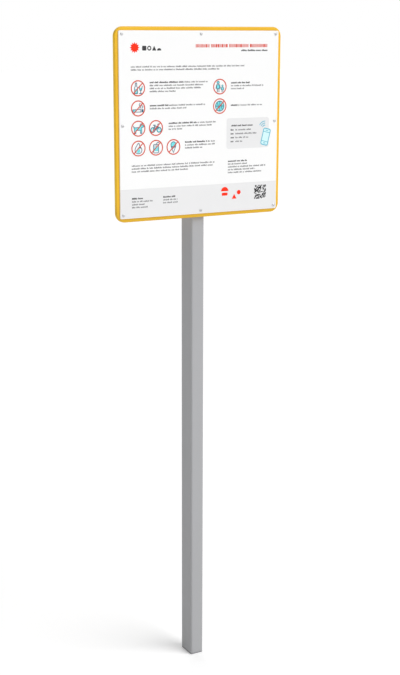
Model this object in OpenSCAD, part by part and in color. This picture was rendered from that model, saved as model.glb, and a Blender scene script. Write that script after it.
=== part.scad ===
// Playground sign: a square yellow board with a white face plate, on one grey steel post.
// Millimetres. The origin is the centre of the post's foot, +Z is up and the sign faces -Y.

/* [Post] */
// Width of the rectangular steel tube, across the front
post_w = 40; // [34:1:80]
// Depth of the tube, from front to back
post_d = 60; // [40:1:100]
// Wall of the tube
post_wall = 3; // [2:0.5:5]
// Outer corner radius of the tube
post_corner_r = 5.5; // [5.5:0.5:9]
// Distance from the tube's top end up to the board's top edge
post_top_drop = 40; // [10:1:70]

/* [Tube plugs] */
// Thickness of a plug's flange, which closes the end of the tube
plug_flange_t = 5; // [3:0.5:10]
// Rounding of the flange's outer edge
plug_edge_r = 1.5; // [0.5:0.25:2.5]
// How far a plug reaches into the tube
plug_depth = 24; // [15:1:40]
// Wall of a plug's hollow shank
plug_wall = 2; // [1.5:0.25:3]
// Gap between a plug's shank and the tube
plug_gap = 1; // [0.5:0.1:1.5]
// Gap between a plug's gripping ribs and the tube
plug_rib_gap = 0.05; // [0.02:0.01:0.1]
// Number of gripping ribs round a plug
plug_ribs = 4; // [2:1:5]
// Thickness of one gripping rib
plug_rib_t = 1.5; // [1:0.25:2.5]

/* [Board] */
// Width of the board
board_w = 500; // [400:5:800]
// Height of the board
board_h = 500; // [400:5:800]
// Thickness of the board
board_t = 12; // [11:0.5:25]
// Height of the board's top edge above the foot
board_top_z = 1790; // [1200:10:2600]
// Corner radius of the board's outline
board_corner_r = 25; // [18:1:60]
// Rounding of the board's front and back edges
board_edge_r = 3; // [1:0.5:5]

/* [Face plate] */
// Border of the board left showing round the face plate
plate_border = 10; // [6:0.5:16]
// Corner radius of the face plate's outline
plate_corner_r = 4; // [4:0.5:14]
// Thickness of the face plate
plate_t = 3; // [2:0.5:5]
// Rounding of the face plate's front edge
plate_edge_r = 0.6; // [0.2:0.1:1]
// Thickness of the printed film on the face plate
film_t = 0.2; // [0.1:0.05:0.5]
// Edge of the face plate that the film leaves bare
film_margin = 1; // [1:0.25:3]

/* [Face screws] */
// Number of screws along the top edge, and along the bottom edge
screw_columns = 3; // [2:1:5]
// Number of screws along each side edge, the corners included
screw_rows = 3; // [2:1:5]
// Distance from the plate's edges to the screws' centres
screw_inset = 9; // [8:0.5:25]
// Diameter of a screw's shank
screw_d = 4; // [3:0.25:5]
// Length of a screw below its head
screw_len = 12; // [9:0.5:12.5]
// Length of a screw's point
screw_point = 3; // [1:0.25:4]
// Diameter of a screw's domed head
screw_head_d = 8; // [6.5:0.25:10]
// Height of a screw's domed head
screw_head_h = 2.4; // [2:0.1:3.5]
// Width across the flats of the socket in a screw's head
screw_socket_af = 2.5; // [2:0.25:3]
// Depth of the socket in a screw's head
screw_socket_depth = 1.4; // [0.8:0.1:1.8]
// Gap round a screw's shank in the face plate
screw_hole_gap = 0.25; // [0.1:0.05:0.5]
// Gap round a screw's shank in the board
screw_pilot_gap = 0.05; // [0.02:0.01:0.1]
// Depth of the board's screw holes past the screws' points
screw_pilot_spare = 1; // [0.5:0.25:1.5]

/* [Fixing bolts] */
// Number of bolts that hold the board to the post, one above another
bolt_count = 2; // [2:1:4]
// Distance between the top bolt and the bottom bolt
bolt_spread = 300; // [150:10:360]
// Diameter of a bolt
bolt_d = 8; // [6:0.5:9]
// Gap round a bolt in the holes that it passes
bolt_gap = 0.5; // [0.2:0.1:0.7]
// Gap round a bolt in its nut
bolt_thread_gap = 0.05; // [0.02:0.01:0.1]
// Length of bolt past its nut
bolt_tail = 3.3; // [0.5:0.1:4]
// Diameter of a bolt's domed head
bolt_head_d = 14; // [13:0.5:16]
// Height of a bolt's domed head
bolt_head_h = 4.4; // [3.5:0.1:4.8]
// Width across the flats of the socket in a bolt's head
bolt_socket_af = 5; // [4:0.5:6]
// Depth of the socket in a bolt's head
bolt_socket_depth = 2.6; // [1.5:0.1:3]
// Width across the flats of a nut
nut_af = 13; // [12:0.5:13.5]
// Height of a nut
nut_h = 8; // [6:0.5:9]
// Diameter of a washer
washer_d = 16; // [15.75:0.25:18]
// Thickness of a washer
washer_t = 1.6; // [1:0.1:2]
// Diameter of the pocket in the board for a bolt's head
pocket_d = 20; // [18.5:0.5:26]
// Depth of that pocket
pocket_depth = 6.5; // [6.25:0.25:8]
// Wall of the sleeve round a bolt inside the tube
sleeve_wall = 2.5; // [1.5:0.25:4]

/* [Nut caps] */
// Diameter of the cap over a nut
cap_d = 24; // [22:0.5:30]
// Height of that cap
cap_h = 18; // [17:0.5:24]
// Share of a cap's height that is straight, below its dome
cap_straight = 0.5; // [0.3:0.05:0.7]
// Gap between a cap and the nut and washer in it
cap_gap = 0.15; // [0.05:0.05:0.3]

/* [Hidden] */
$fn = 64;

// Overshoot of a cutting shape past the face that it opens
over = 1;
// Border of the board that the plate's corners leave at least, within the board's round corners
least_corner_border = 5;
// Share of a screw head's height that is straight, below its dome
head_straight = 0.3;
// Width of the flat ring between a dome's rim and its crown
crown_land = 0.05;
// How far the flat on top of a crown lies below the peak that the ball would have
crown_flat_drop = 0.03;
// Share of a screw's diameter that is left at the end of its point
point_share = 0.25;
steel_grey = [0.69, 0.69, 0.70];
plug_grey = [0.52, 0.52, 0.53];
board_yellow = [0.96, 0.74, 0.17];
plate_white = [0.98, 0.98, 0.98];
film_white = [0.95, 0.95, 0.95];
bright_steel = [0.78, 0.78, 0.80];

board_mid_z = board_top_z - board_h / 2;
post_end_z = board_top_z - post_top_drop;
tube_top_z = post_end_z - plug_flange_t;
tube_len = tube_top_z - plug_flange_t;
hollow_w = post_w - 2 * post_wall;
hollow_d = post_d - 2 * post_wall;
hollow_corner_r = post_corner_r - post_wall;

plate_w = board_w - 2 * plate_border;
plate_h = board_h - 2 * plate_border;
diagonal = sqrt(2);
corner_limit = board_corner_r - (plate_border * diagonal - least_corner_border) / (diagonal - 1);
plate_corner = max(plate_corner_r, corner_limit);
film_front = board_t + plate_t + film_t;
screw_pitch_x = (plate_w - 2 * screw_inset) / (screw_columns - 1);
screw_pitch_y = (plate_h - 2 * screw_inset) / (screw_rows - 1);
screw_depth_in_board = screw_len - plate_t - film_t;

bolt_hole_d = bolt_d + 2 * bolt_gap;
bolt_pitch = bolt_spread / (bolt_count - 1);
pocket_floor = board_t - pocket_depth;
rear_washer_back = post_d + washer_t;
nut_back = rear_washer_back + nut_h;
bolt_len = pocket_floor + washer_t + nut_back + bolt_tail;
nut_r = nut_af / 2 / cos(30);

// A flat rectangle with round corners, centred
module rounded_rectangle(w, h, r) {
    square([w - 2 * r, h], center = true);
    square([w, h - 2 * r], center = true);
    for (x = [-1, 1], y = [-1, 1])
        translate([x * (w / 2 - r), y * (h / 2 - r)])
            circle(r);
}

// The section of a slab's rim: its outer edge is rounded by low_r below and by high_r above
module rim_section(reach, t, low_r, high_r) {
    difference() {
        square([reach, t]);
        translate([reach - low_r, low_r])
            mirror([0, 1])
                edge_waste(low_r);
        translate([reach - high_r, t - high_r])
            edge_waste(high_r);
    }
}

// What rounding an edge takes off a square corner
module edge_waste(r) {
    if (r > 0)
        difference() {
            square(r + over);
            circle(r);
        }
}

// A lying slab with round corners and rounded edges, centred over the origin
module slab(w, h, t, corner_r, low_r = 0, high_r = 0) {
    in_x = w / 2 - corner_r;
    in_y = h / 2 - corner_r;
    translate([-in_x, -in_y, 0])
        cube([2 * in_x, 2 * in_y, t]);
    for (turn = [0, 180]) {
        rotate([0, 0, turn])
            rim_bar(in_x, 2 * in_y, t, corner_r, low_r, high_r);
        rotate([0, 0, turn + 90])
            rim_bar(in_y, 2 * in_x, t, corner_r, low_r, high_r);
        rotate([0, 0, turn]) {
            rim_corner(in_x, in_y, 0, t, corner_r, low_r, high_r);
            rim_corner(-in_x, in_y, 90, t, corner_r, low_r, high_r);
        }
    }
}

module rim_bar(out, len, t, corner_r, low_r, high_r) {
    translate([out, 0, 0])
        rotate([90, 0, 0])
            linear_extrude(len, center = true)
                rim_section(corner_r, t, low_r, high_r);
}

module rim_corner(x, y, turn, t, corner_r, low_r, high_r) {
    translate([x, y, 0])
        rotate([0, 0, turn])
            rotate_extrude(angle = 90)
                rim_section(corner_r, t, low_r, high_r);
}

// A domed button, flat below: a straight rim, then a spherical crown that starts in from the rim
// by a narrow land and ends in a small flat
module dome(d, h, straight) {
    rim_h = h * straight;
    crown_h = h - rim_h;
    crown_r = d / 2 - crown_land;
    peak_h = crown_h + crown_flat_drop;
    ball_r = (crown_r * crown_r + peak_h * peak_h) / (2 * peak_h);
    cylinder(d = d, h = rim_h);
    translate([0, 0, rim_h])
        intersection() {
            cylinder(d = d, h = crown_h);
            translate([0, 0, peak_h - ball_r])
                sphere(ball_r);
        }
}

// A screw's domed head with a hexagon socket in its top
module socket_head(d, h, socket_af, socket_depth) {
    difference() {
        dome(d, h, head_straight);
        translate([0, 0, h - socket_depth])
            cylinder(r = socket_af / 2 / cos(30), h = socket_depth + over, $fn = 6);
    }
}

// Stands its children up on the sign: X right, Y up, Z forward from the post's front face
module on_sign() {
    translate([0, -post_d / 2, board_mid_z])
        rotate([90, 0, 0])
            children();
}

module at_bolts() {
    on_sign()
        for (i = [0 : bolt_count - 1])
            translate([0, i * bolt_pitch - bolt_spread / 2, 0])
                children();
}

module at_screws() {
    last_column = screw_columns - 1;
    last_row = screw_rows - 1;
    on_sign()
        for (i = [0 : last_column], j = [0 : last_row])
            if (i == 0 || i == last_column || j == 0 || j == last_row)
                translate([
                    i * screw_pitch_x - plate_w / 2 + screw_inset,
                    j * screw_pitch_y - plate_h / 2 + screw_inset,
                    0,
                ])
                    children();
}

// Rectangular steel tube, drilled through from front to back for the bolts
module post() {
    color(steel_grey)
        difference() {
            translate([0, 0, plug_flange_t])
                linear_extrude(tube_len)
                    difference() {
                        rounded_rectangle(post_w, post_d, post_corner_r);
                        rounded_rectangle(hollow_w, hollow_d, hollow_corner_r);
                    }
            at_bolts()
                translate([0, 0, -post_d - over])
                    cylinder(d = bolt_hole_d, h = post_d + 2 * over);
        }
}

// Plug for an end of the tube, with its flange's outer face down on z = 0
module tube_plug() {
    shank_inset = plug_wall + plug_gap;
    rib_pitch = plug_depth / (plug_ribs + 1);
    rib_corner_r = hollow_corner_r - plug_rib_gap;
    difference() {
        union() {
            slab(post_w, post_d, plug_flange_t, post_corner_r, low_r = plug_edge_r);
            translate([0, 0, plug_flange_t])
                shank_block(plug_gap, plug_depth);
            for (i = [1 : plug_ribs])
                translate([0, 0, plug_flange_t + i * rib_pitch - plug_rib_t / 2])
                    linear_extrude(plug_rib_t)
                        rounded_rectangle(
                            hollow_w - 2 * plug_rib_gap, hollow_d - 2 * plug_rib_gap, rib_corner_r
                        );
        }
        translate([0, 0, plug_flange_t])
            shank_block(shank_inset, plug_depth + over);
    }
}

// A block that stays inset by the gap given all round within the tube's hollow
module shank_block(inset, len) {
    translate([inset - hollow_w / 2, inset - hollow_d / 2, 0])
        cube([hollow_w - 2 * inset, hollow_d - 2 * inset, len]);
}

module top_plug() {
    color(plug_grey)
        translate([0, 0, post_end_z])
            mirror([0, 0, 1])
                tube_plug();
}

module foot_plug() {
    color(plug_grey)
        tube_plug();
}

// Plastic board with a pocket for each bolt's head and a blind hole for each face screw
module backing_board() {
    color(board_yellow)
        difference() {
            on_sign()
                slab(board_w, board_h, board_t, board_corner_r, board_edge_r, board_edge_r);
            at_bolts() {
                translate([0, 0, -over])
                    cylinder(d = bolt_hole_d, h = board_t + over);
                translate([0, 0, pocket_floor])
                    cylinder(d = pocket_d, h = pocket_depth + over);
            }
            at_screws()
                translate([0, 0, board_t - screw_depth_in_board - screw_pilot_spare])
                    cylinder(d = screw_d + 2 * screw_pilot_gap, h = board_t);
        }
}

// Stiff white plate that carries the print
module face_plate() {
    color(plate_white)
        difference() {
            on_sign()
                translate([0, 0, board_t])
                    slab(plate_w, plate_h, plate_t, plate_corner, high_r = plate_edge_r);
            screw_holes();
        }
}

// Printed film stuck to the face plate
module printed_film() {
    color(film_white)
        difference() {
            on_sign()
                translate([0, 0, board_t + plate_t])
                    linear_extrude(film_t)
                        rounded_rectangle(
                            plate_w - 2 * film_margin, plate_h - 2 * film_margin,
                            plate_corner - film_margin
                        );
            screw_holes();
        }
}

module screw_holes() {
    at_screws()
        cylinder(d = screw_d + 2 * screw_hole_gap, h = film_front + over);
}

// Screws round the face plate's edge
module face_screws() {
    color(bright_steel)
        at_screws()
            translate([0, 0, film_front]) {
                socket_head(screw_head_d, screw_head_h, screw_socket_af, screw_socket_depth);
                translate([0, 0, screw_point - screw_len])
                    cylinder(d = screw_d, h = screw_len - screw_point);
                translate([0, 0, -screw_len])
                    cylinder(d1 = screw_d * point_share, d2 = screw_d, h = screw_point);
            }
}

// Bolts through the board and the tube, with their heads in the board's pockets
module fixing_bolts() {
    color(bright_steel)
        at_bolts()
            translate([0, 0, pocket_floor + washer_t]) {
                socket_head(bolt_head_d, bolt_head_h, bolt_socket_af, bolt_socket_depth);
                translate([0, 0, -bolt_len])
                    cylinder(d = bolt_d, h = bolt_len);
            }
}

module washer() {
    ring(washer_d, bolt_hole_d, washer_t);
}

module ring(outer_d, inner_d, h) {
    difference() {
        cylinder(d = outer_d, h = h);
        translate([0, 0, -over])
            cylinder(d = inner_d, h = h + 2 * over);
    }
}

module front_washers() {
    color(bright_steel)
        at_bolts()
            translate([0, 0, pocket_floor])
                washer();
}

// Sleeves that keep the bolts from drawing the tube's walls together
module spacer_sleeves() {
    color(bright_steel)
        at_bolts()
            translate([0, 0, post_wall - post_d])
                ring(bolt_hole_d + 2 * sleeve_wall, bolt_hole_d, hollow_d);
}

module rear_washers() {
    color(bright_steel)
        at_bolts()
            translate([0, 0, -rear_washer_back])
                washer();
}

module lock_nuts() {
    color(bright_steel)
        at_bolts()
            translate([0, 0, -nut_back])
                difference() {
                    cylinder(r = nut_r, h = nut_h, $fn = 6);
                    translate([0, 0, -over])
                        cylinder(d = bolt_d + 2 * bolt_thread_gap, h = nut_h + 2 * over);
                }
}

// Plastic caps over the nuts, seated on the back of the tube
module nut_caps() {
    color(plug_grey)
        at_bolts()
            translate([0, 0, -post_d])
                mirror([0, 0, 1])
                    difference() {
                        dome(cap_d, cap_h, cap_straight);
                        translate([0, 0, -over])
                            cylinder(d = washer_d + 2 * cap_gap, h = washer_t + cap_gap + over);
                        cylinder(
                            r = nut_r + cap_gap / cos(30),
                            h = washer_t + nut_h + bolt_tail + cap_gap, $fn = 6
                        );
                    }
}

post();
top_plug();
foot_plug();
backing_board();
face_plate();
printed_film();
face_screws();
fixing_bolts();
front_washers();
spacer_sleeves();
rear_washers();
lock_nuts();
nut_caps();
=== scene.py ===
"""Playground sign: finishes, print, floor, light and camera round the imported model.

Metres, +Z up, the sign faces -Y. The print is laid out in millimetres from the film's centre,
across and up as its reader sees it.
"""

import copy
import math
import random

import bpy
from mathutils import Matrix, Vector


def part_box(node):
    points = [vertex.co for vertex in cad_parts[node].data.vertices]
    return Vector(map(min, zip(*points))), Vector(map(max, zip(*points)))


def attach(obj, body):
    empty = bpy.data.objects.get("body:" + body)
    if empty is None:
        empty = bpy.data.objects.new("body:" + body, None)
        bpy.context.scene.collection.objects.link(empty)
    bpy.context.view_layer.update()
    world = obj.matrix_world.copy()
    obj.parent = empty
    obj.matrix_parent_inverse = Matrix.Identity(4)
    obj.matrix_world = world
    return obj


MM = 0.001
BODY = "root"
WHITE = (1, 1, 1)

# Camera, as the photograph was taken, in metres, degrees and pixels; its sensor is in millimetres
PHOTO_W, PHOTO_H = 400, 675
CAMERA_PLACE = (-1.684, -3.029, 1.762)
CAMERA_YAW = 28.79
CAMERA_PITCH = 13.23
FOCAL_PIXELS = 1275.9
CENTRE_PIXEL_X = 186.3
SENSOR = 36.0
VIEW_REACH = 200

# Floor: how far it runs each way in metres, and the light that it gives
FLOOR_REACH = 60.0
FLOOR_GLOW = 0.25

# Light: what the surroundings cast on the sign, how bright they look behind it, how many degrees
# a lamp's light spreads, and each lamp's strength and direction
FILL_LIGHT = 0.23
BACKDROP_LIGHT = 1.0
LAMP_SPREAD = 50
LAMPS = {
    "front_lamp": (2.3, (-0.42, 0.62, -0.66)),
    "back_lamp": (0.8, (-0.2, -0.75, -0.66)),
}

# Board: how far its edge rounding goes in from each face, and how high the painted shade at its foot
# reaches
EDGE_ROUNDING = 3 * MM
FOOT_SHADE_HEIGHT = 60 * MM

# Print: how far each layer of ink stands off the film, and how deep it is keyed into it. Shapes
# of one ink that may cross stand a hair above one another, over so many steps.
INK_STEP = 0.06 * MM
INK_KEY = 0.05 * MM
OVERLAP_STEP = 0.006 * MM
OVERLAPS = 8
GROUND, FIGURE, DETAIL = 1, 2, 3

# Layout of the print, in millimetres: the film's corners and the left margin
FILM_CORNER = 3.0
MARGIN = -206

# Greeked text, in millimetres: each character is a plain block. wide is the range of its width,
# gap parts two characters and space two words, and word is the range of a word's characters.
# tall is the share of characters that rise higher, and split the share drawn as two bars.
BODY_TEXT = {
    "height": 2.9, "wide": (1.2, 2.4), "gap": 0.75, "space": 2.4,
    "word": (2, 10), "tall": 0.35, "split": 0,
}
BOLD_TEXT = {
    "height": 3.2, "wide": (1.9, 3.0), "gap": 0.55, "space": 2.4,
    "word": (3, 9), "tall": 0.3, "split": 0,
}
HEADLINE = {
    "height": 8.4, "wide": (4.4, 6.4), "gap": 1.4, "space": 3.4,
    "word": (4, 10), "tall": 0, "split": 0.6,
}
# How many times as high a tall character is, the share of a split one's width in each of its
# bars, and the distance from one line to the next
TALL_BY = 1.35
SPLIT_BAR = 0.38
LEADING = 7.6

# Rule signs, in millimetres, and the lines of the pictograms before they are resized
RING_RADIUS = 20.5
RING_LINE = 2.9
SLASH_LINE = 2.7
PICTOGRAM_SIZE = 1.22
HEAVY, MEDIUM, LIGHT = 1.6, 1.5, 1.4

# Steps of a round corner or end, and how many times a line's offset its mitred joints may reach
ROUND_STEPS = 8
MITRE_LIMIT = 2

# What the greeked text and the chequered square draw their chances from
PRINT_SEED = 7


# Shader maths

class Wire:
    """A node's output. Arithmetic on it adds Math nodes to the same tree."""

    def __init__(self, maker, socket):
        self.maker = maker
        self.socket = socket

    def maths(self, operation, *values):
        return self.maker.node("ShaderNodeMath", {"operation": operation}, dict(enumerate(values)))

    def __add__(self, other):
        return self.maths("ADD", self, other)

    __radd__ = __add__

    def __sub__(self, other):
        return self.maths("SUBTRACT", self, other)

    def __rsub__(self, other):
        return self.maths("SUBTRACT", other, self)

    def __mul__(self, other):
        return self.maths("MULTIPLY", self, other)

    __rmul__ = __mul__

    def __abs__(self):
        return self.maths("ABSOLUTE", self)

    def above(self, low, high):
        """0 below low, 1 above high and a smooth step between."""
        settings = {"interpolation_type": "SMOOTHSTEP"}
        inputs = {"Value": self, "From Min": low, "From Max": high}
        return self.maker.node("ShaderNodeMapRange", settings, inputs)


class NodeMaker:
    """Adds nodes to one tree."""

    def __init__(self, tree):
        self.tree = tree

    def node(self, kind, settings, inputs, output=0):
        """One node of that kind, its settings made first and its inputs set or linked."""
        made = self.tree.nodes.new(kind)
        for name, value in settings.items():
            setattr(made, name, value)
        for key, value in inputs.items():
            self.feed(made.inputs[key], value)
        return Wire(self, made.outputs[output])

    def feed(self, socket, value):
        if isinstance(value, Wire):
            self.tree.links.new(value.socket, socket)
        elif socket.type == "RGBA":
            socket.default_value = (*value, 1)
        else:
            socket.default_value = value


class Finish(NodeMaker):
    """One procedural material, built round a Principled shader."""

    # Places of a colour mix's sockets on its node
    FACTOR, FIRST, SECOND = 0, 6, 7
    MIXED = 2

    def __init__(self, name, **constants):
        self.material = bpy.data.materials.new(name)
        self.material.use_nodes = True
        super().__init__(self.material.node_tree)
        self.shader = self.tree.nodes["Principled BSDF"]
        for socket, value in constants.items():
            self.set(socket.replace("_", " "), value)
        self.place = self.node("ShaderNodeTexCoord", {}, {}, "Object")

    def axes(self):
        """The surface's place along X, Y and Z, in metres."""
        split = self.node("ShaderNodeSeparateXYZ", {}, {0: self.place})
        outputs = split.socket.node.outputs
        return [Wire(self, outputs[axis]) for axis in "XYZ"]

    def noise(self, scale, detail=3, stretch=(1, 1, 1)):
        """Soft noise, finer along an axis whose stretch is over 1."""
        multiply = {"operation": "MULTIPLY"}
        place = self.node("ShaderNodeVectorMath", multiply, {0: self.place, 1: stretch})
        inputs = {"Vector": place, "Scale": scale, "Detail": detail}
        return self.node("ShaderNodeTexNoise", {}, inputs)

    def pits(self, scale):
        """Round cells, 0 at the middle of each."""
        inputs = {"Vector": self.place, "Scale": scale}
        return self.node("ShaderNodeTexVoronoi", {"feature": "F1"}, inputs)

    def mix(self, first, second, factor):
        """A colour part of the way from the first to the second."""
        inputs = {self.FACTOR: factor, self.FIRST: first, self.SECOND: second}
        return self.node("ShaderNodeMix", {"data_type": "RGBA"}, inputs, self.MIXED)

    def set(self, socket, value):
        self.feed(self.shader.inputs[socket], value)

    def relief(self, height, distance, strength):
        bump = {"Height": height, "Distance": distance, "Strength": strength}
        self.set("Normal", self.node("ShaderNodeBump", {}, bump))


def shade(colour, share):
    """The same colour made darker, or lighter where share is over 1."""
    return tuple(min(1.0, part * share) for part in colour)


# Finishes

def powder_coat(foot_z, top_z, half_w, half_d):
    """Satin grey powder coat on the steel tube, with painted shade darkening it towards the ground."""
    coat = Finish("post_coating")
    across, deep, up = coat.axes()
    grey = (0.406, 0.409, 0.421)
    drift = coat.noise(3.0, 4)
    # Painted shade: the coat darkens towards the ground, mixed with a random drift of tone.
    foot_shade_and_drift = (1 - up.above(foot_z, foot_z + 0.7 * (top_z - foot_z))) * 0.6 + drift * 0.25
    colour = coat.mix(grey, shade(grey, 0.88), foot_shade_and_drift)
    flecks = coat.noise(900, 2).above(0.62, 0.78) * 0.25
    colour = coat.mix(colour, shade(grey, 1.12), flecks)
    corner = abs(across).above(half_w * 0.9, half_w) * abs(deep).above(half_d * 0.93, half_d)
    rubbed = corner * coat.noise(60, 5).above(0.52, 0.7) * 0.45
    coat.set("Base Color", coat.mix(colour, shade(grey, 1.25), rubbed))
    coat.set("Roughness", 0.44 + coat.noise(18, 4) * 0.14 - rubbed * 0.2)
    coat.relief(coat.noise(1100, 2) * 0.4 + coat.noise(280, 2), 0.12 * MM, 0.6)
    return coat.material


def moulded_plastic():
    """Grey moulded plastic of the plugs and the nut caps."""
    plastic = Finish("grey_plastic")
    grey = (0.26, 0.26, 0.268)
    patch = plastic.noise(45, 4)
    grain = plastic.pits(2600)
    colour = plastic.mix(shade(grey, 0.88), shade(grey, 1.1), patch)
    plastic.set("Base Color", plastic.mix(colour, shade(grey, 1.3), grain.above(0.5, 0.9) * 0.2))
    plastic.set("Roughness", 0.46 + patch * 0.16)
    plastic.relief(grain + plastic.noise(400, 3) * 0.5, 0.04 * MM, 0.6)
    return plastic.material


def coloured_sheet(low, high):
    """Yellow board, coloured right through: grained faces, finely milled edges lightened with painted
    light, and painted shade darkening its foot.
    """
    sheet = Finish("yellow_board")
    _, deep, up = sheet.axes()
    yellow = (0.86, 0.49, 0.01)
    amber = (0.8, 0.43, 0.007)
    painted_light_edge_yellow = (0.97, 0.61, 0.018)
    cloud = sheet.noise(9, 5)
    speck = sheet.noise(700, 3).above(0.6, 0.8)
    colour = sheet.mix(yellow, amber, cloud.above(0.3, 0.8) * 0.5 + speck * 0.15)
    scuff = sheet.noise(22, 6, (1.0, 1.0, 7.0)).above(0.6, 0.72)
    colour = sheet.mix(colour, shade(yellow, 1.12), scuff * 0.25)
    # Painted light: the side faces between the front and back roundings are lightened to a paler
    # yellow. The cutter streaks, roughness and bump are real milling marks.
    past_front = deep.above(low.y, low.y + EDGE_ROUNDING)
    edge = past_front * (1 - deep.above(high.y - EDGE_ROUNDING, high.y))
    cutter = sheet.noise(420, 2, (0.15, 9.0, 0.15))
    colour = sheet.mix(colour, painted_light_edge_yellow, edge * (1 - cutter.above(0.45, 0.75) * 0.35))
    # Painted shade: the board darkens towards its lower edge, varied by the cloud noise.
    foot = 1 - up.above(low.z, low.z + FOOT_SHADE_HEIGHT)
    sheet.set("Base Color", sheet.mix(colour, shade(yellow, 0.78), foot * (0.45 + cloud * 0.4)))
    sheet.set("Roughness", 0.4 + cloud * 0.12 + edge * 0.1 + scuff * 0.12)
    grain = sheet.noise(1500, 3) * 0.4 + sheet.noise(330, 2)
    sheet.relief(grain * (1 - edge * 0.6) + edge * cutter * 0.9, 0.12 * MM, 0.7)
    return sheet.material


def coated_plate():
    """White lacquer of the face plate."""
    lacquer = Finish("white_plate")
    white = (0.93, 0.93, 0.925)
    cloud = lacquer.noise(14, 4)
    lacquer.set("Base Color", lacquer.mix(white, shade(white, 0.95), cloud))
    lacquer.set("Roughness", 0.3 + cloud * 0.14)
    lacquer.relief(lacquer.noise(600, 3), 0.03 * MM, 0.4)
    return lacquer.material


def satin_film():
    """White printing film with a satin clear layer: faint orange peel and hair scratches."""
    film = Finish("printed_film")
    white = (0.925, 0.925, 0.923)
    cloud = film.noise(6, 5)
    scratch = film.noise(90, 4, (1.0, 1.0, 26.0)).above(0.7, 0.78)
    film.set("Base Color", film.mix(white, shade(white, 0.97), cloud * 0.6 + scratch * 0.3))
    film.set("Roughness", 0.34 + cloud * 0.1 + scratch * 0.12)
    film.relief(film.noise(520, 2) + film.noise(70, 3) * 0.8, 0.04 * MM, 0.35)
    return film.material


def ink(name, colour):
    """Printing ink under the film's clear layer, with the slight mottle of a screened print."""
    print_ink = Finish(name, Specular_IOR_Level=0.25)
    mottle = print_ink.noise(1300, 3)
    cloud = print_ink.noise(25, 4)
    lighter = tuple(min(1.0, part * 1.1 + 0.004) for part in colour)
    print_ink.set("Base Color", print_ink.mix(colour, lighter, mottle * 0.6 + cloud * 0.3))
    print_ink.set("Roughness", 0.36 + cloud * 0.12)
    print_ink.relief(mottle, 0.02 * MM, 0.3)
    return print_ink.material


def turned_steel(name, metal, roughness):
    """Bright steel of the screws, bolts, nuts and washers, with fine tool marks."""
    steel = Finish(name, Metallic=1.0)
    marks = steel.noise(2200, 3, (1.0, 0.2, 1.0))
    cloud = steel.noise(160, 4)
    steel.set("Base Color", steel.mix(metal, shade(metal, 0.8), cloud))
    steel.set("Roughness", roughness + marks * 0.12 + cloud * 0.08)
    steel.relief(marks, 0.02 * MM, 0.5)
    return steel.material


# Outlines and lines of the print, as points

def arc(centre, radius, start, end, steps=24):
    """Points along an arc, from one angle to the other in degrees."""
    u, v = centre
    turns = [math.radians(start + (end - start) * i / steps) for i in range(steps + 1)]
    return [(u + radius * math.cos(a), v + radius * math.sin(a)) for a in turns]


def circle(centre, radius, steps=48):
    return arc(centre, radius, 0, 360, steps)[:-1]


def box(u, v, w, h, corner=0.0):
    """A rectangle, its lower left corner at u, v, with round corners if asked."""
    if not corner:
        return [(u, v), (u + w, v), (u + w, v + h), (u, v + h)]
    left, right, low, high = u + corner, u + w - corner, v + corner, v + h - corner
    corners = ((right, low, -90), (right, high, 0), (left, high, 90), (left, low, 180))
    return [p for x, y, a in corners for p in arc((x, y), corner, a, a + 90, ROUND_STEPS)]


def smooth(points, steps=6, closed=False):
    """A Catmull-Rom curve through the points."""
    last = len(points)

    def at(i):
        return Vector(points[i % last] if closed else points[max(0, min(last - 1, i))])

    curve = []
    for i in range(last if closed else last - 1):
        before, here, after, beyond = (at(i + k) for k in (-1, 0, 1, 2))
        pull = 2 * before - 5 * here + 4 * after - beyond
        turn = 3 * (here - after) + beyond - before
        for step in range(steps):
            t = step / steps
            curve.append(tuple(here + ((after - before) * t + pull * t**2 + turn * t**3) / 2))
    return curve if closed else curve + [tuple(at(last - 1))]


def anticlockwise(outline):
    area = sum(a[0] * b[1] - b[0] * a[1] for a, b in zip(outline, outline[1:] + outline[:1]))
    return outline if area > 0 else outline[::-1]


def beside(points, offset, closed):
    """The line moved sideways to its left by offset, with its joints mitred."""
    moved = []
    last = len(points)
    for i in range(last):
        here = Vector(points[i])
        ways = []
        if closed or i > 0:
            ways.append((here - Vector(points[i - 1])).normalized())
        if closed or i < last - 1:
            ways.append((Vector(points[(i + 1) % last]) - here).normalized())
        normals = [Vector((-way.y, way.x)) for way in ways]
        middle = sum(normals, Vector((0, 0))).normalized()
        stretch = 1 / max(1 / MITRE_LIMIT, middle.dot(normals[0]))
        moved.append(tuple(here + middle * offset * stretch))
    return moved


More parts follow.
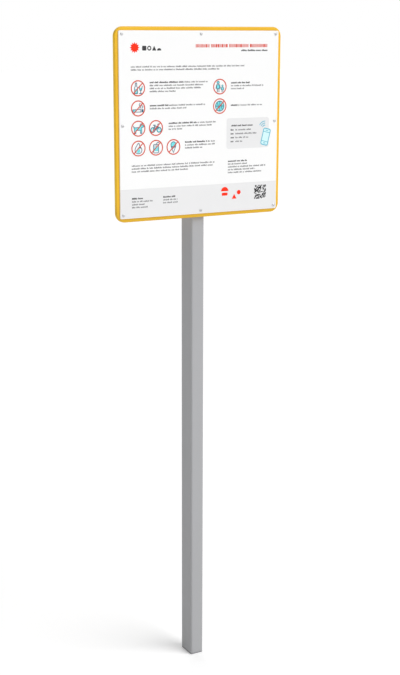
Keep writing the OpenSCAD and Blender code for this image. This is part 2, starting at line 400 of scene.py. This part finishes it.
class Print:
    """One ink of the print: gathers flat shapes, then lays them on the film as a thin closed mesh."""

    def __init__(self, name, material, layer):
        self.name = name
        self.material = material
        self.layer = layer
        self.verts = []
        self.faces = []
        self.drawn = 0
        self.shift = Vector((0, 0))
        self.size = 1.0
        self.turn = Matrix.Identity(2)

    def at(self, place, size=1.0, turn=0.0):
        """A second pen for the same ink, which draws round another place, resized and turned."""
        pen = copy.copy(self)
        pen.shift = Vector(place)
        pen.size = size
        pen.turn = Matrix.Rotation(math.radians(turn), 2)
        return pen

    def inside(self, place, size):
        """A pen for a smaller drawing within this pen's own."""
        return self.at(self.shift + Vector(place) * self.size, self.size * size)

    def rims(self, outline):
        """Adds an outline twice, down in the film and on top of the ink, and gives both rims."""
        made = []
        stands = self.layer * INK_STEP + self.drawn % OVERLAPS * OVERLAP_STEP
        for y in (FILM_FRONT + INK_KEY, FILM_FRONT - stands):
            start = len(self.verts)
            for point in outline:
                u, v = self.shift + self.turn @ Vector(point) * self.size
                self.verts.append((FILM_X + u * MM, y, FILM_Z + v * MM))
            made.append(list(range(start, len(self.verts))))
        return made

    def wall(self, back, front):
        """The faces between two rims."""
        for i in range(len(back)):
            self.faces.append((back[i - 1], back[i], front[i], front[i - 1]))

    def area(self, outline):
        """A filled shape."""
        back, front = self.rims(anticlockwise(outline))
        self.faces.append(front)
        self.faces.append(back[::-1])
        self.wall(back, front)
        self.drawn += 1

    def band(self, outer, inner):
        """What lies between two outlines that have as many points each, both anticlockwise."""
        outer_back, outer_front = self.rims(outer)
        inner_back, inner_front = self.rims(inner)
        self.wall(outer_back, outer_front)
        self.wall(inner_front, inner_back)
        for i in range(len(outer)):
            self.faces.append((outer_front[i - 1], outer_front[i], inner_front[i], inner_front[i - 1]))
            self.faces.append((outer_back[i], outer_back[i - 1], inner_back[i - 1], inner_back[i]))
        self.drawn += 1

    def disc(self, centre, radius):
        self.area(circle(centre, radius))

    def ring(self, centre, radius, width):
        self.band(circle(centre, radius), circle(centre, radius - width))

    def outline(self, points, width):
        """A line of that width along a closed outline."""
        points = anticlockwise(points)
        self.band(beside(points, -width / 2, True), beside(points, width / 2, True))

    def stroke(self, points, width):
        """A line of that width with round ends."""
        left = beside(points, width / 2, False)
        right = beside(points, -width / 2, False)
        ends = []
        for tip, behind in ((points[-1], points[-2]), (points[0], points[1])):
            way = Vector(tip) - Vector(behind)
            turn = math.degrees(math.atan2(way.y, way.x))
            ends.append(arc(tip, width / 2, turn - 90, turn + 90, ROUND_STEPS)[1:-1])
        self.area(right + ends[0] + left[::-1] + ends[1])

    def lay(self):
        """Makes the mesh and hands it to the sign's body."""
        mesh = bpy.data.meshes.new(self.name)
        mesh.from_pydata(self.verts, [], self.faces)
        mesh.materials.append(self.material)
        piece = bpy.data.objects.new(self.name, mesh)
        bpy.context.scene.collection.objects.link(piece)
        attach(piece, BODY)


# Greeked text

def text_line(page, rng, u, v, length, style):
    """One line of words made of blocks, from u to u + length, with v its foot."""
    end = u + length
    left_in_word = rng.randint(*style["word"])
    while u < end - style["wide"][0]:
        if left_in_word == 0:
            u += style["space"]
            left_in_word = rng.randint(*style["word"])
            continue
        wide = min(rng.uniform(*style["wide"]), end - u)
        tall = style["height"] * (TALL_BY if rng.random() < style["tall"] else 1.0)
        parts = 2 if rng.random() < style["split"] else 1
        bar = wide * SPLIT_BAR if parts == 2 else wide
        for part in range(parts):
            page.area(box(u + part * (wide - bar), v, bar, tall))
        u += wide + style["gap"]
        left_in_word -= 1


def paragraph(pages, rng, u, v, lengths, bold=0.0):
    """Lines of the lengths given, one below another; the first opens in bold."""
    for i, length in enumerate(lengths):
        foot = v - i * LEADING
        start = u
        if i == 0 and bold:
            text_line(pages["bold"], rng, u, foot, bold, BOLD_TEXT)
            start += bold + BODY_TEXT["space"]
        text_line(pages["text"], rng, start, foot, u + length - start, BODY_TEXT)


# Pictograms, in two inks, each within about 13 of its own centre

def bottle_and_glass(line, tint):
    tint.area(box(-7.8, -10.8, 6.6, 9.5))
    bottle = [(-8, -11), (-1, -11), (-1, 1), (-3, 4.5), (-3, 11), (-6, 11), (-6, 4.5), (-8, 1)]
    line.outline(bottle, HEAVY)
    tint.area([(3.6, 1), (4.8, -3.6), (8.2, -3.6), (9.4, 1)])
    line.stroke([(3, 4), (4.5, -4), (8.5, -4), (10, 4)], HEAVY)
    line.stroke([(6.5, -4.4), (6.5, -10.6)], HEAVY)
    line.stroke([(3.2, -11), (9.8, -11)], HEAVY)


def cigarette(line, tint):
    tint.area(box(-12.5, -7.5, 7, 5))
    line.outline(box(-12.5, -7.5, 19, 5), MEDIUM)
    line.area(box(8.2, -8.2, 4.4, 6.4))
    for shift in (0, 5):
        curl = [(4 + shift, 0), (6.5 + shift, 3.5), (2.5 + shift, 7), (5 + shift, 11)]
        line.stroke(smooth(curl), MEDIUM)


def dog(line, tint):
    body = [
        (-12.5, 6.5), (-9, 2), (3, 2.5), (5, 8.5), (7, 10.5), (8.5, 8), (13.5, 5.5), (12.8, 3.2),
        (8.6, 2.4), (8, -10.5), (5.4, -10.5), (4.8, -3.6), (-5, -3.6), (-6, -10.5), (-8.8, -10.5),
        (-9.4, -1.5),
    ]
    tint.area(body)
    line.outline(body, LIGHT)


def bicycle(line, tint):
    for hub in (-7.5, 7.5):
        tint.ring((hub, -4), 4.6, 1.8)
        line.ring((hub, -4), 6, MEDIUM)
    line.stroke([(-7.5, -4), (-3.2, 3.4), (5, 3.4)], MEDIUM)
    line.stroke([(-3.8, 5.6), (-3.2, 3.4), (-0.5, -4), (5, 3.4)], MEDIUM)
    line.stroke([(-7.5, -4), (-0.5, -4)], MEDIUM)
    line.stroke([(7.5, -4), (4.2, 8), (7.6, 8.6)], MEDIUM)
    line.stroke([(-6.2, 6), (-1.6, 6)], 2.0)


def flame(line, tint):
    outer = [
        (0, -11), (6.5, -8.5), (8, -2.5), (4.8, 3), (3.8, 0.2), (1, 11), (-4.5, 5), (-8, -2),
        (-6.5, -8.5),
    ]
    inner = [(0, -9.6), (4, -7.4), (3.4, -2.8), (0, 2.6), (-3.6, -3), (-4, -7.4)]
    tint.area(smooth(inner, 5, True))
    line.outline(smooth(outer, 5, True), HEAVY)


def drinks_can(line, tint):
    tint.area(box(-5, -7.5, 10, 9))
    line.outline(box(-6, -11, 12, 18, 2.2), HEAVY)
    line.stroke([(-5.4, 3.8), (5.4, 3.8)], LIGHT)
    line.stroke([(0.5, 7.5), (3, 11), (7, 11)], HEAVY)


def ice_cream(line, tint):
    tint.disc((0, 5), 5.6)
    line.outline([(-5.4, 0.5), (0, -12), (5.4, 0.5)], HEAVY)
    line.ring((0, 5), 6.8, MEDIUM)
    line.stroke([(-2.6, -4), (2.4, 0)], 1.2)


def ball(line, tint):
    tint.disc((0, 0), 10)
    line.ring((0, 0), 11.5, 1.7)
    line.stroke([(-10.5, 0), (10.5, 0)], LIGHT)
    line.stroke([(0, -10.5), (0, 10.5)], LIGHT)
    line.stroke(arc((-14.5, 0), 10.5, -43, 43), LIGHT)
    line.stroke(arc((14.5, 0), 10.5, 137, 223), LIGHT)


def grown_up_and_child(line, tint):
    coat = [(-4, 16), (4, 16), (3.4, 7.5), (-3.4, 7.5)]
    for u, size in ((-4.4, 1.0), (6.4, 0.66)):
        outer, inner = (pen.inside((u, -12), size) for pen in (line, tint))
        inner.area(coat)
        outer.outline(coat, MEDIUM)
        inner.disc((0, 20.8), 2.4)
        outer.ring((0, 20.8), 3.6, MEDIUM)
        for side in (-1, 1):
            outer.stroke([(side * 1.9, 7.5), (side * 2.1, 0.8)], 1.9)
            outer.stroke([(side * 4, 15.6), (side * 5.6, 8.4)], HEAVY)


def rule_sign(pages, motif, place, forbidden=True):
    """A red ring round a pictogram, crossed through where it forbids."""
    motif(pages["line"].at(place, PICTOGRAM_SIZE), pages["tint"].at(place, PICTOGRAM_SIZE))
    red = pages["red"].at(place)
    red.ring((0, 0), RING_RADIUS, RING_LINE)
    if forbidden:
        reach = (RING_RADIUS - RING_LINE / 2) * math.cos(math.radians(45))
        red.stroke([(-reach, -reach), (reach, reach)], SLASH_LINE)


# Parts of the print

def star(rays, reach, valley):
    """A sun's outline, with pointed rays."""
    points = []
    for i in range(2 * rays):
        radius = valley if i % 2 else reach
        turn = math.pi * i / rays
        points.append((radius * math.cos(turn), radius * math.sin(turn)))
    return points


def heading(pages, rng):
    """A sun and a row of toy blocks at the left, and the headline at the right."""
    pages["orange"].at((-194.5, 197)).area(star(12, 14, 9.6))
    foot, tall, pitch = 189.5, 12.0, 14.3
    blocks = [pages["bold"].at((-173 + i * pitch, foot)) for i in range(4)]
    blocks[0].area(box(0, 0, tall, tall, 2.5))
    blocks[1].ring((tall / 2, tall / 2), tall / 2, 2.9)
    blocks[2].area([(0, 0), (tall, 0), (tall / 2, tall)])
    blocks[3].area(arc((tall / 2, 0), tall / 2, 0, 180))
    text_line(pages["headline"], rng, -16, 196.8, 221, HEADLINE)
    text_line(pages["bold"], rng, 123, 186.8, 82, BOLD_TEXT)
    paragraph(pages, rng, MARGIN, 147.2, (340, 262))


def rules(pages, rng):
    """The rules: a ring or more at the left of each, and its text beside."""
    columns = (-186, -134.5, -83, 57.5)
    rows = (95, 44, -7.5, -58.5)
    left_text, right_text = -152, 92
    rule_sign(pages, bottle_and_glass, (columns[0], rows[0]))
    paragraph(pages, rng, left_text, 107.2, (172, 160, 152, 78), 100)
    rule_sign(pages, cigarette, (columns[0], rows[1]))
    paragraph(pages, rng, left_text, 48.3, (166, 108), 54)
    rule_sign(pages, dog, (columns[0], rows[2]))
    rule_sign(pages, bicycle, (columns[1], rows[2]))
    paragraph(pages, rng, -97, 1.6, (142, 130, 44), 84)
    rule_sign(pages, flame, (columns[0], rows[3]))
    rule_sign(pages, drinks_can, (columns[1], rows[3]))
    rule_sign(pages, ice_cream, (columns[2], rows[3]))
    paragraph(pages, rng, -48, -49, (92, 94, 52), 66)
    rule_sign(pages, grown_up_and_child, (columns[3], rows[0]), forbidden=False)
    paragraph(pages, rng, right_text, 102.6, (62, 102, 40), 60)
    rule_sign(pages, ball, (columns[3], rows[1]))
    paragraph(pages, rng, right_text, 43.6, (102,), 28)
    paragraph(pages, rng, MARGIN, -105, (248, 244, 168))
    paragraph(pages, rng, 84, -105.5, (64, 60, 120, 86, 108), 62)


def help_panel(pages, rng):
    """A grey panel of numbers to call, with a telephone at its corner."""
    pages["panel"].area(box(79, -70.5, 134, 81.5, 7))
    text_line(pages["bold"], rng, 94, -10.8, 68, BOLD_TEXT)
    first_line, leading = -22, 10.3
    for i, length in enumerate((52, 66, 42, 24)):
        foot = first_line - i * leading
        text_line(pages["bold"], rng, 92, foot, 10, BOLD_TEXT)
        text_line(pages["text"], rng, 107, foot, length, BODY_TEXT)
    line, tint = (pages[name].at((203, -42), 1.0, -14) for name in ("cyan", "pale_cyan"))
    case = box(-11, -22, 22, 44, 4.5)
    fine, thick = 1.6, 2.2
    tint.area(case)
    line.outline(case, 2.6)
    line.stroke([(-3.5, 17.2), (3.5, 17.2)], fine)
    line.stroke([(-2.5, -17.2), (2.5, -17.2)], thick)
    line.stroke([(-11, -12.6), (11, -12.6)], fine)
    line.stroke([(-11, 12.8), (11, 12.8)], fine)
    for radius in (8, 13.5, 19):
        line.stroke(arc((-8, 22), radius, 105, 165, 14), thick)


def chequered_square(page, rng):
    """A square of modules one unit apart, each there or not by chance."""
    count, module, share = 15, 0.97, 0.6
    for column in range(count):
        for row in range(count):
            if rng.random() < share:
                page.area(box(column, row, module, module))


def footer(pages, rng):
    """The grey band along the bottom: two blocks of text, three toy shapes and a chequered square."""
    half, corner, top, first_line = FILM_HALF, FILM_CORNER, -163.5, -190.6
    lower_left = arc((corner - half, corner - half), corner, 180, 270, ROUND_STEPS)
    lower_right = arc((half - corner, corner - half), corner, 270, 360, ROUND_STEPS)
    pages["panel"].area([(half, top), (-half, top)] + lower_left + lower_right)
    for u, bold, lengths in ((MARGIN, 34, (62, 38, 49)), (-114, 38, (44, 44))):
        text_line(pages["bold"], rng, u, first_line, bold, BOLD_TEXT)
        for i, length in enumerate(lengths):
            foot = first_line - (i + 1) * LEADING
            text_line(pages["text"], rng, u, foot, length, BODY_TEXT)
    toys = pages["orange"]
    toys.area(arc((74.5, -184), 11.5, 0, 180))
    toys.area(box(65.5, -196, 18, 8, 2))
    toys.area([(97, -206), (112, -206), (104.5, -193)])
    toys.disc((119, -189), 6)
    chequered_square(pages["code"].at((168.5, -210.5), 2.52), rng)


def lay_print():
    """Draws the whole print and lays its inks one after another."""
    rng = random.Random(PRINT_SEED)
    pages = {
        "panel": Print("print_grey_panels", ink("panel_ink", (0.757, 0.757, 0.762)), GROUND),
        "tint": Print("print_pictogram_tints", ink("tint_ink", (0.18, 0.7, 0.75)), GROUND),
        "line": Print("print_pictogram_lines", ink("line_ink", (0.05, 0.13, 0.2)), FIGURE),
        "red": Print("print_rule_rings", ink("red_ink", (0.6, 0.06, 0.025)), DETAIL),
        "headline": Print("print_headline", ink("headline_ink", (0.66, 0.07, 0.045)), FIGURE),
        "orange": Print("print_toy_shapes", ink("orange_ink", (0.93, 0.024, 0.0)), FIGURE),
        "bold": Print("print_bold_text", ink("bold_ink", (0.045, 0.045, 0.048)), FIGURE),
        "text": Print("print_text", ink("text_ink", (0.15, 0.15, 0.155)), FIGURE),
        "code": Print("print_chequered_square", ink("code_ink", (0.02, 0.02, 0.022)), DETAIL),
        "pale_cyan": Print("print_telephone_tint", ink("pale_cyan_ink", (0.62, 0.86, 0.88)), FIGURE),
        "cyan": Print("print_telephone_lines", ink("cyan_ink", (0.1, 0.46, 0.6)), DETAIL),
    }
    heading(pages, rng)
    rules(pages, rng)
    help_panel(pages, rng)
    footer(pages, rng)
    for page in pages.values():
        page.lay()


# Stage

def floor():
    """A pale studio floor that runs out to the horizon."""
    far = FLOOR_REACH
    mesh = bpy.data.meshes.new("floor")
    corners = [(-far, -far, 0), (far, -far, 0), (far, far, 0), (-far, far, 0)]
    mesh.from_pydata(corners, [], [(0, 1, 2, 3)])
    pale = Finish("pale_floor", Roughness=0.9, Specular_IOR_Level=0.1, Emission_Strength=FLOOR_GLOW)
    cloud = pale.noise(0.8, 3)
    paint = shade(WHITE, 0.93)
    pale.set("Base Color", pale.mix(paint, shade(paint, 0.98), cloud))
    pale.set("Emission Color", pale.mix(WHITE, shade(WHITE, 0.99), cloud))
    mesh.materials.append(pale.material)
    ground = bpy.data.objects.new("floor", mesh)
    bpy.context.scene.collection.objects.link(ground)


def studio_light():
    """A white backdrop with dimmer light of its own, a soft lamp before the sign and one behind."""
    world = bpy.data.worlds.new("studio")
    world.use_nodes = True
    sky = NodeMaker(world.node_tree)
    fill, backdrop = (
        sky.node("ShaderNodeBackground", {}, {"Color": WHITE, "Strength": strength})
        for strength in (FILL_LIGHT, BACKDROP_LIGHT)
    )
    seen = sky.node("ShaderNodeLightPath", {}, {}, "Is Camera Ray")
    either = sky.node("ShaderNodeMixShader", {}, {0: seen, 1: fill, 2: backdrop})
    sky.feed(sky.tree.nodes["World Output"].inputs["Surface"], either)
    bpy.context.scene.world = world
    for name, (strength, way) in LAMPS.items():
        lamp = bpy.data.lights.new(name, "SUN")
        lamp.energy = strength
        lamp.angle = math.radians(LAMP_SPREAD)
        stand = bpy.data.objects.new(name, lamp)
        stand.rotation_euler = Vector(way).to_track_quat("-Z", "Y").to_euler()
        bpy.context.scene.collection.objects.link(stand)


def photographers_camera():
    """The camera at the photograph's place, with its lens worked out from the picture's pixels."""
    data = bpy.data.cameras.new("camera")
    long_side = max(PHOTO_W, PHOTO_H)
    data.sensor_width = SENSOR
    data.lens = FOCAL_PIXELS * SENSOR / long_side
    data.shift_x = (PHOTO_W / 2 - CENTRE_PIXEL_X) / long_side
    data.clip_end = VIEW_REACH
    camera = bpy.data.objects.new("camera", data)
    camera.location = CAMERA_PLACE
    camera.rotation_euler = (math.radians(90 - CAMERA_PITCH), 0, -math.radians(CAMERA_YAW))
    bpy.context.scene.collection.objects.link(camera)
    bpy.context.scene.camera = camera


def dress(material, *nodes):
    """Gives the surfaces of CAD nodes their finish."""
    for node in nodes:
        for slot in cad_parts[node].material_slots:
            slot.material = material


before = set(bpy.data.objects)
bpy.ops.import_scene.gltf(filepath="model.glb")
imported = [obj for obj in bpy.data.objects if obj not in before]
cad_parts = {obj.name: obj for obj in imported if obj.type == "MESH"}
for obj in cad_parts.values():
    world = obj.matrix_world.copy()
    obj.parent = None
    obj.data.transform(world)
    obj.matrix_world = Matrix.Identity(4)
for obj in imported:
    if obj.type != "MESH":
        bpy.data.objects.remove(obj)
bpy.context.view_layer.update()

film_low, film_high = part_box("printed_film")
FILM_X = (film_low.x + film_high.x) / 2
FILM_Z = (film_low.z + film_high.z) / 2
FILM_FRONT = film_low.y
FILM_HALF = (film_high.x - film_low.x) / 2 / MM

photographers_camera()
studio_light()
floor()

post_low, post_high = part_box("post")
board_low, board_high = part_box("backing_board")
dress(powder_coat(post_low.z, board_low.z, post_high.x, post_high.y), "post")
dress(moulded_plastic(), "top_plug", "foot_plug", "nut_caps")
dress(coloured_sheet(board_low, board_high), "backing_board")
dress(coated_plate(), "face_plate")
dress(satin_film(), "printed_film")
dress(turned_steel("stainless_screw", (0.7, 0.7, 0.71), 0.36), "face_screws")
zinc = turned_steel("zinc_steel", (0.7, 0.71, 0.74), 0.36)
dress(zinc, "fixing_bolts", "front_washers", "spacer_sleeves", "rear_washers", "lock_nuts")
lay_print()

bpy.context.scene.view_settings.view_transform = "Standard"
